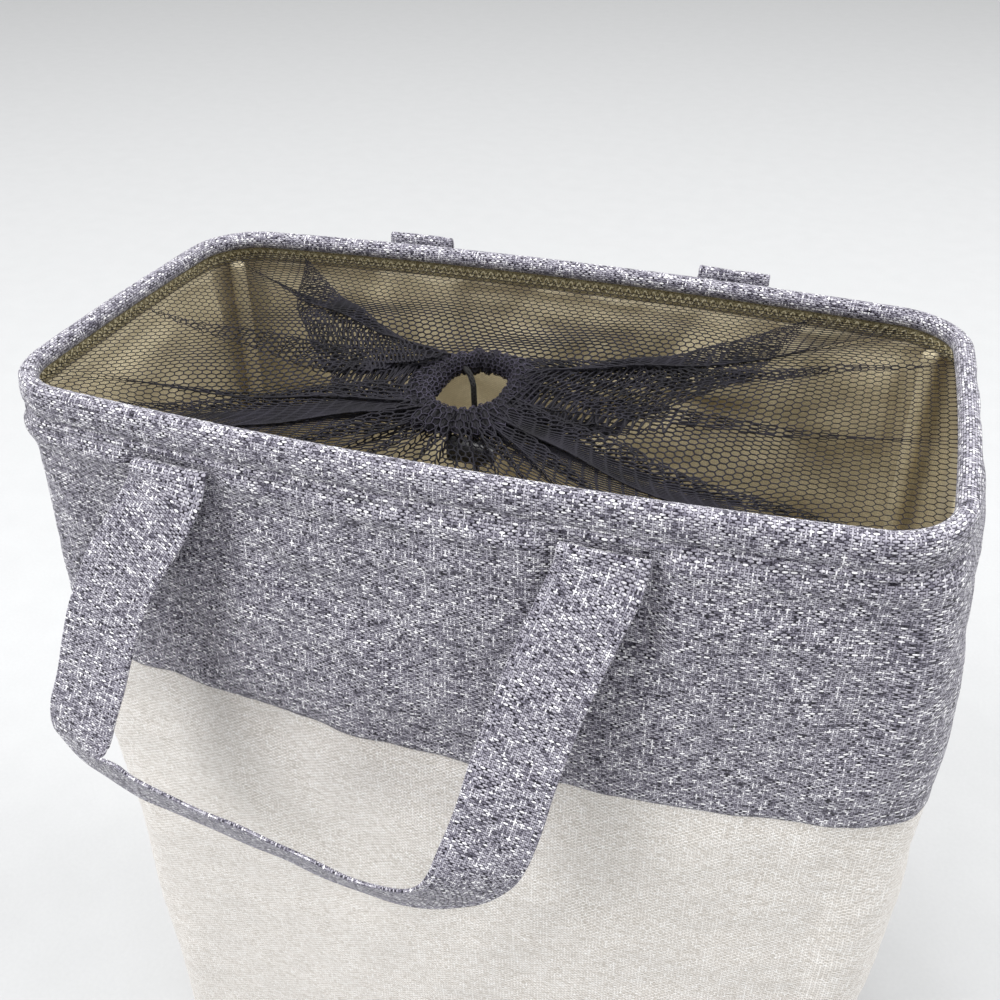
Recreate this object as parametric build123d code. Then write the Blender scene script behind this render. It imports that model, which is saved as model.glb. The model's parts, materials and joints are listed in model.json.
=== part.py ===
"""Free-standing laundry bag: a rectangular fabric bag hung on a tubular rim, with a drawstring mesh cover.

Millimetres. +X runs along the long side, -Y is the front, +Z is up, and the bag stands on z = 0.
"""

from build123d import *
from math import asin, atan2, cos, degrees, hypot, radians, sin, sqrt, tan
import os

# Bag outline, at the centreline of the rim tube
BAG_WIDTH = 440.0
BAG_DEPTH = 210.0
LONG_SIDE_BOW = 12.5
SHORT_SIDE_BOW = 3.3
CORNER_R = 36.0
RIM_Z = 555.0

# Rim frame and the fabric channel around it
TUBE_R = 4.0
TUBE_WALL = 1.0
CHANNEL_R = 5.0
FRAME_GAP = 0.1
JOINER_R = TUBE_R - TUBE_WALL
JOINER_LENGTH = 60.0
SKIRT_IN, SKIRT_OUT = 1.8, 4.4
SKIRT_BOTTOM = RIM_Z - 14.0

# Walls, given as offsets from the rim centreline, positive outwards
WALL_IN, WALL_OUT = 2.2, 4.0
LINING_IN, LINING_OUT = 1.5, 2.0
BINDING_IN, BINDING_OUT = 1.0, 1.7
SEAM_Z = RIM_Z - 155.0
PANEL_THICK = 1.5
BOARD_THICK = 3.0
BOARD_OFFSET = 1.0
LINING_THICK = 0.5
LAYER_GAP = 0.1

# Corner rods
ROD_R = 3.0
SLEEVE_IN_R, SLEEVE_OUT_R = 3.3, 4.5
CAP_R = 4.2
CAP_LENGTH = 8.0
CAP_DEPTH = 6.0
SLEEVE_END_GAP = 1.0

# Mesh cover, casing ring and drawcord
MESH_Z = RIM_Z - 8.0
MESH_THICK = 1.2
MESH_OFFSET = 0.9
HOLE_X, HOLE_Y = -7.0, -26.0
CASING_ARC_R = 21.0
CASING_STRAIGHT = 18.0
CASING_R = 5.5
CASING_BORE_R = 2.0
CORD_R = 1.5
CORD_EXIT_ANGLE = 133.0
CORD_EXIT_HOLE_R = 1.8
CORD_START_GAP = 0.05
CORD_STEP = 5.5
CORD_FIRST_RUN = 7.0
CORD_DROP = 98.0
CORD_TURNS = (30.0, 60.0, 90.0)
RUN_SHARE = 0.45
KNOT_R = 4.0

# Cord lock on the hanging cord
LOCK_DROP = 44.0
LOCK_R = 7.0
LOCK_HOLE_R = 1.8
LOCK_CLOSED_END = 14.0
LOCK_OPEN_END = 6.0
LOCK_BORE_R = 4.8
LOCK_END_WALL = 2.0
PLUNGER_R = 4.6
PLUNGER_BACK = 4.5
PLUNGER_FRONT = 10.5
PLUNGER_TRAVEL = 3.5
SPRING_COIL_R = 3.0
SPRING_WIRE_R = 0.35
SPRING_TURNS = 4

# Handles
STRAP_WIDTH = 40.0
STRAP_THICK = 2.0
STRAP_GAP = 0.3
UPSTAND_IN = CHANNEL_R + FRAME_GAP
ANCHOR_BOTTOM = RIM_Z - 64.0
FRONT_FOLD_Z = RIM_Z - 20.0
BACK_FOLD_Z = RIM_Z + 9.0
HANDLE_TILT = 22.0
FRONT_ENDS = (-120.0, 85.0)
BACK_ENDS = (-93.0, 98.0)
# Each corner of the hanging loop: sideways from its own strap end, and down along the loop
LEFT_CORNER = (-43.0, 148.0)
RIGHT_CORNER = (-42.0, 178.0)
LOOP_LOW = (-42.0, 184.0)

os.makedirs("parts", exist_ok=True)


# ---------------------------------------------------------------- outline of the bag


def bow(chord, sagitta):
    """Radius of the shallow arc that bows out by sagitta over a chord."""
    return ((chord / 2) ** 2 + sagitta**2) / (2 * sagitta)


LONG_R = bow(BAG_WIDTH, LONG_SIDE_BOW)
SHORT_R = bow(BAG_DEPTH, SHORT_SIDE_BOW)
LONG_CENTRE = LONG_R - BAG_DEPTH / 2 - LONG_SIDE_BOW
SHORT_CENTRE = SHORT_R - BAG_WIDTH / 2 - SHORT_SIDE_BOW


def corner_centre():
    """Centre, in the +X +Y quarter, of the corner arc that is tangent to both shallow arcs."""
    a, b = SHORT_R - CORNER_R, LONG_R - CORNER_R
    span = hypot(SHORT_CENTRE, LONG_CENTRE)
    along = (a * a - b * b + span * span) / (2 * span)
    across = sqrt(a * a - along * along)
    ux, uy = SHORT_CENTRE / span, -LONG_CENTRE / span
    return (-SHORT_CENTRE + ux * along - uy * across, uy * along + ux * across)


CORNER_X, CORNER_Y = corner_centre()
LONG_HALF_ANGLE = asin(CORNER_X / (LONG_R - CORNER_R))
SHORT_HALF_ANGLE = asin(CORNER_Y / (SHORT_R - CORNER_R))


def arc_point(centre, radius, angle):
    return (centre[0] + radius * cos(angle), centre[1] + radius * sin(angle))


def arc(centre, radius, start, end):
    """Arc through three points, with its angles in radians."""
    return ThreePointArc(*(arc_point(centre, radius, a) for a in (start, (start + end) / 2, end)))


def half_outline(offset, side):
    """The four arcs and a half of each long side on the +X (side 1) or -X (side -1) half."""
    lift = radians(90)
    back = arc((0, -LONG_CENTRE), LONG_R + offset, lift, lift - LONG_HALF_ANGLE)
    corner = arc((CORNER_X, CORNER_Y), CORNER_R + offset, lift - LONG_HALF_ANGLE, SHORT_HALF_ANGLE)
    end = arc((-SHORT_CENTRE, 0), SHORT_R + offset, SHORT_HALF_ANGLE, -SHORT_HALF_ANGLE)
    edges = [back, corner, end, mirror(corner, Plane.XZ), mirror(back, Plane.XZ)]
    wire = Wire([e for shape in edges for e in shape.edges()])
    return wire if side > 0 else mirror(wire, Plane.YZ)


def outline(offset):
    """Closed face inside the bag's outline, grown by offset."""
    edges = [e for side in (1, -1) for e in half_outline(offset, side).edges()]
    return make_face(edges)


def slab(offset, low, high):
    return extrude(Pos(0, 0, low) * outline(offset), high - low)


def ring(inner, outer, low, high):
    return slab(outer, low, high) - slab(inner, low, high)


def side_y(x, offset, side):
    """Y of the long side's surface at x, for the front (side -1) or the back (side 1)."""
    return side * (sqrt((LONG_R + offset) ** 2 - x * x) - LONG_CENTRE)


# ---------------------------------------------------------------- rim


def rim_pipe(radius, side):
    """Round bar of that radius along one half of the rim."""
    path = Pos(0, 0, RIM_Z) * half_outline(0, side)
    start = Plane(origin=path @ 0, z_dir=path % 0)
    return sweep(start * Circle(radius), path)


def rim_tube(side):
    return rim_pipe(TUBE_R, side) - rim_pipe(TUBE_R - TUBE_WALL, side)


def rim_joiner(side):
    """Solid pin inside both tube ends, at the middle of a long side."""
    reach = JOINER_LENGTH / 2 / LONG_R
    middle = radians(90 * side)
    centre = (0, -side * LONG_CENTRE)
    path = Pos(0, 0, RIM_Z) * Wire(arc(centre, LONG_R, middle - reach, middle + reach).edges())
    return sweep(Plane(origin=path @ 0, z_dir=path % 0) * Circle(JOINER_R), path)


def rim_channel():
    """Fabric roll around the rim tube, in two halves that meet where the tubes do."""
    halves = [rim_pipe(CHANNEL_R, side) - rim_pipe(TUBE_R + FRAME_GAP, side) for side in (1, -1)]
    return Compound([half.solid() for half in halves])


# ---------------------------------------------------------------- corner rods

ROD_RADIAL = CORNER_R + LINING_IN - LAYER_GAP - SLEEVE_OUT_R
ROD_SHIFT = ROD_RADIAL * sin(radians(45))
FLOOR_TOP = PANEL_THICK + LAYER_GAP + BOARD_THICK + LAYER_GAP + LINING_THICK
ROD_TOP = SKIRT_BOTTOM - LAYER_GAP
CORNERS = {
    "front_left": (-1, -1),
    "front_right": (1, -1),
    "back_left": (-1, 1),
    "back_right": (1, 1),
}


def rod_place(sx, sy):
    return Pos(sx * (CORNER_X + ROD_SHIFT), sy * (CORNER_Y + ROD_SHIFT), 0)


def upright(radius, low, high):
    return Pos(0, 0, low) * extrude(Circle(radius), high - low)


def rod():
    return upright(ROD_R, FLOOR_TOP + LAYER_GAP + CAP_LENGTH - CAP_DEPTH, ROD_TOP - CAP_LENGTH + CAP_DEPTH)


def rod_sleeve():
    low = FLOOR_TOP + LAYER_GAP + CAP_LENGTH + SLEEVE_END_GAP
    high = ROD_TOP - CAP_LENGTH - SLEEVE_END_GAP
    return upright(SLEEVE_OUT_R, low, high) - upright(SLEEVE_IN_R, low, high)


def rod_caps():
    """Eight equal caps, one on each end of each rod."""
    low = FLOOR_TOP + LAYER_GAP
    cap = upright(CAP_R, low, low + CAP_LENGTH) - upright(ROD_R, low + CAP_LENGTH - CAP_DEPTH, low + CAP_LENGTH)
    top = mirror(cap, Plane(origin=(0, 0, (low + ROD_TOP) / 2), z_dir=(0, 0, 1)))
    return Compound([rod_place(*c) * shape.solid() for c in CORNERS.values() for shape in (cap, top)])


# ---------------------------------------------------------------- mesh cover and drawcord


def casing_path():
    """Closed stadium path of the casing ring, longest front to back."""
    half = CASING_STRAIGHT / 2
    back = arc((HOLE_X, HOLE_Y + half), CASING_ARC_R, 0, radians(180))
    front = arc((HOLE_X, HOLE_Y - half), CASING_ARC_R, radians(180), radians(360))
    left = Line(back @ 1, front @ 0)
    right = Line(front @ 1, back @ 0)
    edges = [e for part in (back, left, front, right) for e in part.edges()]
    return Pos(0, 0, MESH_Z) * Wire(edges)


def casing_pipe(radius):
    path = casing_path()
    return sweep(Plane(origin=path @ 0, z_dir=path % 0) * Circle(radius), path)


def stadium(radius, low, high):
    """Upright block over the casing's stadium, with its ends of that radius."""
    face = SlotCenterToCenter(CASING_STRAIGHT, 2 * radius, rotation=90)
    return Pos(HOLE_X, HOLE_Y, low) * extrude(face, high - low)


EXIT_X = HOLE_X + CASING_ARC_R * cos(radians(CORD_EXIT_ANGLE))
EXIT_Y = HOLE_Y + CASING_STRAIGHT / 2 + CASING_ARC_R * sin(radians(CORD_EXIT_ANGLE))


def exit_plane():
    """Plane at the cord loop's centreline where the tail leaves, facing the middle of the hole."""
    inward = Vector(-cos(radians(CORD_EXIT_ANGLE)), -sin(radians(CORD_EXIT_ANGLE)), 0)
    return Plane(origin=(EXIT_X, EXIT_Y, MESH_Z), z_dir=inward)


def tail_points():
    """Corners of the tail's route, as (inwards, down) from the cord loop's centreline."""
    inwards, down = CORD_R + CORD_START_GAP, 0.0
    points = [(inwards, down)]
    inwards += CORD_FIRST_RUN
    points.append((inwards, down))
    for turn in CORD_TURNS[:-1]:
        inwards += CORD_STEP * cos(radians(turn))
        down += CORD_STEP * sin(radians(turn))
        points.append((inwards, down))
    points.append((inwards, down + CORD_DROP))
    away = exit_plane().z_dir
    return [Vector(EXIT_X, EXIT_Y, MESH_Z) + away * i - Vector(0, 0, d) for i, d in points]


TAIL = tail_points()
TAIL_X, TAIL_Y, TAIL_END_Z = TAIL[-1]
LOCK_Z = MESH_Z - LOCK_DROP


def tail_radii():
    """Largest arc that the two runs at each corner allow."""
    found = []
    for before, at, after in zip(TAIL, TAIL[1:], TAIL[2:]):
        turn = (at - before).get_angle(after - at)
        shorter = min((at - before).length, (after - at).length)
        found.append(RUN_SHARE * shorter / tan(radians(turn / 2)))
    return found


def drawcord_tail():
    path = FilletPolyline(*TAIL, radius=tail_radii())
    tube = sweep(Plane(origin=path @ 0, z_dir=path % 0) * Circle(CORD_R), path)
    section = CORD_R**2 * radians(180)
    print("handle axes", round(fold_y(-1), 2), round(fold_y(1), 2), "tail foot", TAIL[-1])
    print("tail length", round(path.length, 1), "radii", [round(r, 1) for r in tail_radii()])
    print("tail volume over section times length", round(tube.volume / section / path.length, 4))
    return tube


def mesh_casing():
    reach = extrude(exit_plane() * Circle(CORD_EXIT_HOLE_R), CASING_R + 1)
    return casing_pipe(CASING_R) - casing_pipe(CASING_BORE_R) - reach


def mesh_cover():
    sheet = slab(MESH_OFFSET, MESH_Z - MESH_THICK / 2, MESH_Z + MESH_THICK / 2)
    opening = stadium(CASING_ARC_R, MESH_Z - MESH_THICK, MESH_Z + MESH_THICK)
    return sheet - opening - casing_pipe(CASING_R)


# ---------------------------------------------------------------- cord lock, its barrel along X


def lock_bar(radius, low, high):
    """Round bar along X between two places measured from the cord."""
    place = Plane(origin=(TAIL_X + low, TAIL_Y, LOCK_Z), z_dir=(1, 0, 0))
    return extrude(place * Circle(radius), high - low)


def cord_lock_barrel():
    body = lock_bar(LOCK_R, -LOCK_CLOSED_END, LOCK_OPEN_END)
    bore = lock_bar(LOCK_BORE_R, -LOCK_CLOSED_END + LOCK_END_WALL, LOCK_OPEN_END)
    cross = Pos(TAIL_X, TAIL_Y, LOCK_Z - LOCK_R) * extrude(Circle(LOCK_HOLE_R), 2 * LOCK_R)
    return body - bore - cross


def cord_lock_plunger():
    """Button with a slot that clears the cord over the whole travel."""
    body = lock_bar(PLUNGER_R, -PLUNGER_BACK, PLUNGER_FRONT)
    slot = SlotCenterToCenter(PLUNGER_TRAVEL, 2 * LOCK_HOLE_R)
    place = Pos(TAIL_X + PLUNGER_TRAVEL / 2, TAIL_Y, LOCK_Z - PLUNGER_R)
    return body - place * extrude(slot, 2 * PLUNGER_R)


def cord_lock_spring():
    start = -LOCK_CLOSED_END + LOCK_END_WALL + SPRING_WIRE_R
    length = LOCK_CLOSED_END - LOCK_END_WALL - PLUNGER_BACK - 2 * SPRING_WIRE_R
    coil = Helix(length / SPRING_TURNS, length, SPRING_COIL_R)
    wire = sweep(Plane(origin=coil @ 0, z_dir=coil % 0) * Circle(SPRING_WIRE_R), coil, is_frenet=True)
    return Plane(origin=(TAIL_X + start, TAIL_Y, LOCK_Z), z_dir=(1, 0, 0)) * wire


# ---------------------------------------------------------------- handles

AXIS_OFFSET = UPSTAND_IN + STRAP_THICK + STRAP_GAP + STRAP_THICK / 2


def fold_y(side):
    """Y of a fold's axis, clear of every anchor on the bowed side."""
    reach = [abs(x) - STRAP_WIDTH / 2 for x in FRONT_ENDS + BACK_ENDS]
    return side_y(min(reach), AXIS_OFFSET, side)


def anchor(x, side, top):
    """Strap end sewn to the wall, following the wall's curve and standing clear of the rim's roll."""
    layer = ring(WALL_OUT, WALL_OUT + STRAP_THICK, ANCHOR_BOTTOM, min(top, SKIRT_BOTTOM))
    if top > SKIRT_BOTTOM:
        layer += ring(UPSTAND_IN, UPSTAND_IN + STRAP_THICK, SKIRT_BOTTOM - STRAP_THICK, top)
    window = Pos(x, side * BAG_DEPTH, (ANCHOR_BOTTOM + top) / 2)
    return layer & (window * Box(STRAP_WIDTH, 2 * BAG_DEPTH - 1, 2 * BAG_DEPTH))


def depth_along(points, x):
    """Height on a line of points, left to right, at x."""
    for (x0, y0), (x1, y1) in zip(points, points[1:]):
        if x0 <= x <= x1:
            return y0 + (y1 - y0) * (x - x0) / (x1 - x0)
    raise ValueError(f"{x} is beyond the line")


def handle(ends, side, fold_z):
    """Hanging loop: a flat leg at each end and an edge-on run between them, in one tilted plane."""
    down = Vector(0, side * sin(radians(HANDLE_TILT)), -cos(radians(HANDLE_TILT)))
    origin = Vector(0, fold_y(side), fold_z - STRAP_THICK / 2)
    plane = Plane(origin=origin, x_dir=(1, 0, 0), z_dir=Vector(1, 0, 0).cross(down))
    half = STRAP_WIDTH / 2
    left, right = ends[0] + LEFT_CORNER[0], ends[1] + RIGHT_CORNER[0]
    low = ((ends[0] + ends[1]) / 2 + LOOP_LOW[0], LOOP_LOW[1])
    under = [(left - half, LEFT_CORNER[1]), low, (right + half, RIGHT_CORNER[1])]
    band = [(x, depth - STRAP_THICK) for x, depth in reversed(under)]
    run = extrude(plane * make_face(Polyline(*under, *band, close=True)), half, both=True)
    legs = []
    for x, foot in ((ends[0], left), (ends[1], right)):
        feet = [(f, depth_along(under, f) - STRAP_THICK / 2) for f in (foot + half, foot - half)]
        shape = make_face(Polyline((x - half, 0), (x + half, 0), *feet, close=True))
        hinge = Plane(origin=plane.from_local_coords((x - half, 0, 0)), z_dir=(1, 0, 0))
        leg = extrude(plane * shape, STRAP_THICK / 2, both=True)
        legs.append(leg + extrude(hinge * Circle(STRAP_THICK / 2), STRAP_WIDTH))
    return legs[0] + legs[1] + run


# ---------------------------------------------------------------- the nodes

board_low = PANEL_THICK + LAYER_GAP
lining_low = board_low + BOARD_THICK + LAYER_GAP

nodes = {
    "rim_tube_left": rim_tube(-1),
    "rim_tube_right": rim_tube(1),
    "rim_joiner_front": rim_joiner(-1),
    "rim_joiner_back": rim_joiner(1),
    "rim_channel": rim_channel(),
    "rim_skirt": ring(SKIRT_IN, SKIRT_OUT, SKIRT_BOTTOM, RIM_Z - CHANNEL_R),
    "upper_body": ring(WALL_IN, WALL_OUT, SEAM_Z, SKIRT_BOTTOM),
    "lower_body": ring(WALL_IN, WALL_OUT, PANEL_THICK, SEAM_Z),
    "bottom_panel": slab(WALL_OUT, 0, PANEL_THICK),
    "base_board": slab(BOARD_OFFSET, board_low, board_low + BOARD_THICK),
    "lining_wall": ring(LINING_IN, LINING_OUT, board_low, SKIRT_BOTTOM),
    "lining_floor": slab(LINING_IN - LAYER_GAP, lining_low, lining_low + LINING_THICK),
    "mesh_binding": ring(BINDING_IN, BINDING_OUT, SKIRT_BOTTOM, RIM_Z - CHANNEL_R - LAYER_GAP),
    "mesh_cover": mesh_cover(),
    "mesh_casing": mesh_casing(),
    "drawcord_loop": casing_pipe(CORD_R),
    "drawcord_tail": drawcord_tail(),
    "drawcord_knot": Pos(TAIL_X, TAIL_Y, TAIL_END_Z - KNOT_R) * Sphere(KNOT_R),
    "cord_lock_barrel": cord_lock_barrel(),
    "cord_lock_plunger": cord_lock_plunger(),
    "cord_lock_spring": cord_lock_spring(),
    "rod_end_caps": rod_caps(),
    "front_handle": handle(FRONT_ENDS, -1, FRONT_FOLD_Z),
    "back_handle": handle(BACK_ENDS, 1, BACK_FOLD_Z),
}
for corner, place in CORNERS.items():
    nodes[f"rod_{corner}"] = rod_place(*place) * rod()
    nodes[f"rod_sleeve_{corner}"] = rod_place(*place) * rod_sleeve()
for row, side, ends, fold_z in (("front", -1, FRONT_ENDS, FRONT_FOLD_Z), ("back", 1, BACK_ENDS, BACK_FOLD_Z)):
    for hand, x in zip(("left", "right"), ends):
        nodes[f"{row}_{hand}_anchor"] = anchor(x, side, fold_z - STRAP_THICK / 2)

for name, shape in nodes.items():
    export_step(shape, f"parts/{name}.step")
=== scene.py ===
"""Looks of a free-standing laundry bag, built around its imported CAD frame, in metres."""

import json
import math

import bpy
import numpy as np
from mathutils import Matrix, Vector

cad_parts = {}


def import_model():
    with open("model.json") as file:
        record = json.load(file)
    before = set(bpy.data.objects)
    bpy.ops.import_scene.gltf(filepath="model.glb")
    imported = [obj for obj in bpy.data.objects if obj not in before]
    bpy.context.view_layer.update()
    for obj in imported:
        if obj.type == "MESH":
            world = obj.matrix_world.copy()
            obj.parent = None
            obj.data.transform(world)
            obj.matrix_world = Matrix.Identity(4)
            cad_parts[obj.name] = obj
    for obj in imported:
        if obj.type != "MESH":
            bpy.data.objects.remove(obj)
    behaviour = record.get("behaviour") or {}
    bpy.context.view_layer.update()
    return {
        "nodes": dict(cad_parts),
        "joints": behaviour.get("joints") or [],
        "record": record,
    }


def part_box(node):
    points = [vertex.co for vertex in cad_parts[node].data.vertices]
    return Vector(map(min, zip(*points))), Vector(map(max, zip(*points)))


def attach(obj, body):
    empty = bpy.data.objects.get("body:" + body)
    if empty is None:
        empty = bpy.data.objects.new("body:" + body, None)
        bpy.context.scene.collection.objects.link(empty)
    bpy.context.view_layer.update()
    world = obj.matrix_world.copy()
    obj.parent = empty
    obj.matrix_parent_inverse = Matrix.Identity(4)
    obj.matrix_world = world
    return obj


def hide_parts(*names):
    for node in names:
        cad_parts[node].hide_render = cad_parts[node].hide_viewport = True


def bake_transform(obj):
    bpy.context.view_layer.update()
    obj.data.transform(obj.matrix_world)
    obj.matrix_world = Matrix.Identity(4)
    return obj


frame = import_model()

# ---------------------------------------------------------------- sizes, from the frame and the CAD's drivers

TUBE_LOW, TUBE_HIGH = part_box("rim_tube_right")
TUBE_R = (TUBE_HIGH.z - TUBE_LOW.z) / 2
RIM_Z = (TUBE_HIGH.z + TUBE_LOW.z) / 2
LONG_BOW = 0.0125
SHORT_BOW = 0.0033
CORNER_R = 0.036
HALF_LONG = TUBE_HIGH.x - TUBE_R - SHORT_BOW
HALF_SHORT = TUBE_HIGH.y - TUBE_R - LONG_BOW

SKIRT_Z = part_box("rim_skirt")[0].z
SEAM_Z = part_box("lower_body")[1].z
FLOOR_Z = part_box("lining_floor")[1].z
PANEL_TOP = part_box("bottom_panel")[1].z
WALL_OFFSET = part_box("upper_body")[1].x - HALF_LONG - SHORT_BOW
LINING_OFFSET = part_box("lining_wall")[1].x - HALF_LONG - SHORT_BOW
NET_LOW, NET_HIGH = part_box("mesh_cover")
NET_Z = (NET_LOW.z + NET_HIGH.z) / 2
NET_OFFSET = NET_HIGH.x - HALF_LONG - SHORT_BOW
RING_LOW, RING_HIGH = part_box("mesh_casing")
RING_R = (RING_HIGH.z - RING_LOW.z) / 2
RING_CENTRE = (RING_LOW + RING_HIGH) / 2
RING_ARC_R = (RING_HIGH.x - RING_LOW.x) / 2 - RING_R
RING_STRAIGHT = (RING_HIGH.y - RING_LOW.y) - (RING_HIGH.x - RING_LOW.x)

# Thickness of the outer cloth, the lining and the rim's tape
CLOTH = 0.0008
THIN_CLOTH = 0.0003
TAPE = 0.0004

# ---------------------------------------------------------------- small helpers


def unit(rows, least=0.0):
    """Vectors scaled to length 1. A least above 0 keeps vectors of no length at 0."""
    return rows / (np.linalg.norm(rows, axis=-1, keepdims=True) + least)


def distances(path):
    """Distance along a path of each of its points from the first."""
    return np.concatenate([[0.0], np.cumsum(np.linalg.norm(np.diff(path, axis=0), axis=1))])


def sampled(at, distance, table):
    """Rows of a table that runs with distance, at other distances."""
    return np.stack([np.interp(at, distance, column) for column in table.T], -1)


def shares(count):
    """Even places round a closed line, from 0 to just under 1."""
    return np.arange(count) / count


def bell(offset, half):
    """1 at offset 0, a third at half and next to nothing beyond."""
    return np.exp(-((offset / half) ** 2))


def circles(side, other, count):
    """Unit circles of count points, one in the plane of each pair of directions."""
    angle = shares(count) * math.tau
    return side[:, None] * np.cos(angle)[None, :, None] + other[:, None] * np.sin(angle)[None, :, None]


def linked(made):
    bpy.context.scene.collection.objects.link(made)
    return made


# ---------------------------------------------------------------- the bag's outline


def bow(chord, sagitta):
    """Radius of the shallow arc that bows out by sagitta over a chord."""
    return ((chord / 2) ** 2 + sagitta**2) / (2 * sagitta)


def quarter(count=400):
    """Points and outward normals of the rim's centreline from the back's middle to the right end's middle."""
    long_r, short_r = bow(2 * HALF_LONG, LONG_BOW), bow(2 * HALF_SHORT, SHORT_BOW)
    long_c = long_r - HALF_SHORT - LONG_BOW
    short_c = short_r - HALF_LONG - SHORT_BOW
    a, b = short_r - CORNER_R, long_r - CORNER_R
    span = math.hypot(short_c, long_c)
    along = (a * a - b * b + span * span) / (2 * span)
    across = math.sqrt(a * a - along * along)
    ux, uy = short_c / span, -long_c / span
    cx, cy = -short_c + ux * along - uy * across, uy * along + ux * across
    top, low = math.asin(cx / b), math.asin(cy / a)
    parts = [
        (0, -long_c, long_r, math.pi / 2, math.pi / 2 - top),
        (cx, cy, CORNER_R, math.pi / 2 - top, low),
        (-short_c, 0, short_r, low, 0),
    ]
    points, normals = [], []
    for x, y, radius, start, end in parts:
        angle = np.linspace(start, end, count, endpoint=False)
        way = np.stack([np.cos(angle), np.sin(angle)], 1)
        points.append(np.array([x, y]) + radius * way)
        normals.append(way)
    points.append(np.array([[HALF_LONG + SHORT_BOW, 0.0]]))
    normals.append(np.array([[1.0, 0.0]]))
    return np.concatenate(points), np.concatenate(normals)


def whole_loop():
    """The closed centreline, seen from above anticlockwise from the back's middle, with its normals."""
    found = []
    for table in quarter():
        left = table * [-1, 1]
        front_left = (table * [-1, -1])[::-1]
        front_right = table * [1, -1]
        found.append(np.concatenate([left, front_left[1:], front_right[1:], table[::-1][1:]]))
    return found


LOOP, LOOP_NORMAL = whole_loop()
LOOP_S = distances(LOOP)
LOOP_LENGTH = LOOP_S[-1]


def along_loop(s):
    """(x, y) and outward normal of the rim's centreline, at distances s along it."""
    s = np.mod(s, LOOP_LENGTH)
    return sampled(s, LOOP_S, LOOP), unit(sampled(s, LOOP_S, LOOP_NORMAL))


def around(s, offset, z):
    """Points at s along the rim, offset outwards from its centreline, at height z."""
    place, normal = along_loop(s)
    flat = place + normal * np.asarray(offset)[..., None]
    return np.concatenate([flat, np.broadcast_to(np.asarray(z, float), s.shape)[..., None]], -1)


# ---------------------------------------------------------------- smooth random fields


def ripple(points, size, seed, stretch=(1, 1, 1), count=16):
    """Smooth random field, mostly from -1 to 1, with features about size across, longer along stretch."""
    draw = np.random.default_rng(seed)
    way = unit(draw.normal(size=(count, 3)))
    way *= math.tau / (2 * size * draw.uniform(0.6, 1.7, (count, 1))) / np.array(stretch)
    phase = draw.uniform(0, math.tau, count)
    return np.sin(points @ way.T + phase).sum(-1) / math.sqrt(count)


def ease(value, start, end):
    """0 before start, 1 after end and smooth between."""
    t = np.clip((value - start) / (end - start), 0, 1)
    return t * t * (3 - 2 * t)


def hump(z, peak):
    """From 0 at the walls' top edge through 1 at height peak to 0 at their foot."""
    t = np.clip((SKIRT_Z - z) / SKIRT_Z, 0, 1)
    power = math.log(0.5) / math.log((SKIRT_Z - peak) / SKIRT_Z)
    return np.sin(math.pi * t**power)


# ---------------------------------------------------------------- mesh building


def mesh_object(name, points, faces, material, uvs=None):
    """New object of points and faces, with a UV map named cloth if each face corner has a place in uvs."""
    mesh = bpy.data.meshes.new(name)
    mesh.from_pydata(np.asarray(points, float).reshape(-1, 3).tolist(), [], np.asarray(faces).tolist())
    if uvs is not None:
        layer = mesh.uv_layers.new(name="cloth")
        layer.data.foreach_set("uv", np.asarray(uvs, np.float32).ravel())
    mesh.polygons.foreach_set("use_smooth", [True] * len(mesh.polygons))
    mesh.materials.append(material)
    mesh.update()
    return linked(bpy.data.objects.new(name, mesh))


def grid_faces(rows, columns, close_rows=False, close_columns=False):
    """Quads of a grid, as indices of its points and as indices of a table one wider where it closes."""
    i, j = np.meshgrid(
        np.arange(rows if close_rows else rows - 1),
        np.arange(columns if close_columns else columns - 1),
        indexing="ij",
    )
    corners = [(i, j), (i, j + 1), (i + 1, j + 1), (i + 1, j)]
    wide = columns + close_columns
    points = np.stack([(a % rows) * columns + b % columns for a, b in corners], -1).reshape(-1, 4)
    table = np.stack([a * wide + b for a, b in corners], -1).reshape(-1, 4)
    return points, table


def sheet_grid(name, points, material, uv, close_rows=False, close_columns=False, flip=False):
    """Object from a grid of points, rows by columns, and a grid of UV places one wider where it closes."""
    rows, columns = points.shape[:2]
    faces, table = grid_faces(rows, columns, close_rows, close_columns)
    if flip:
        faces, table = faces[:, ::-1], table[:, ::-1]
    return mesh_object(name, points, faces, material, uv.reshape(-1, 2)[table.ravel()])


def uv_grid(down, across):
    """UV places of a grid, in metres: across runs over the columns and down over the rows."""
    u, v = np.meshgrid(across, down)
    return np.stack([u, v], -1)


def rim_uv(down, columns):
    """UV places of a grid that runs once round the rim."""
    return uv_grid(down, np.linspace(0, LOOP_LENGTH, columns + 1))


def cloth_loop(name, slot_name, points, uv, thickness, offset=-1.0, flip=True):
    """Sheet that closes on itself, with its cloth's thickness."""
    made = sheet_grid(name, points, MATERIALS[slot_name], uv, close_columns=True, flip=flip)
    thicken = made.modifiers.new("thickness", "SOLIDIFY")
    thicken.thickness = thickness
    thicken.offset = offset
    return made


def joined_pieces(name, points, faces, copies, material):
    """One object of many copies of a small mesh. copies is (origins, three axes each)."""
    origins, axes = copies
    placed = np.einsum("pk,nkx->npx", points, axes) + origins[:, None]
    shift = (np.arange(len(origins)) * len(points))[:, None, None]
    return mesh_object(name, placed, (faces[None] + shift).reshape(-1, faces.shape[1]), material)


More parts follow.
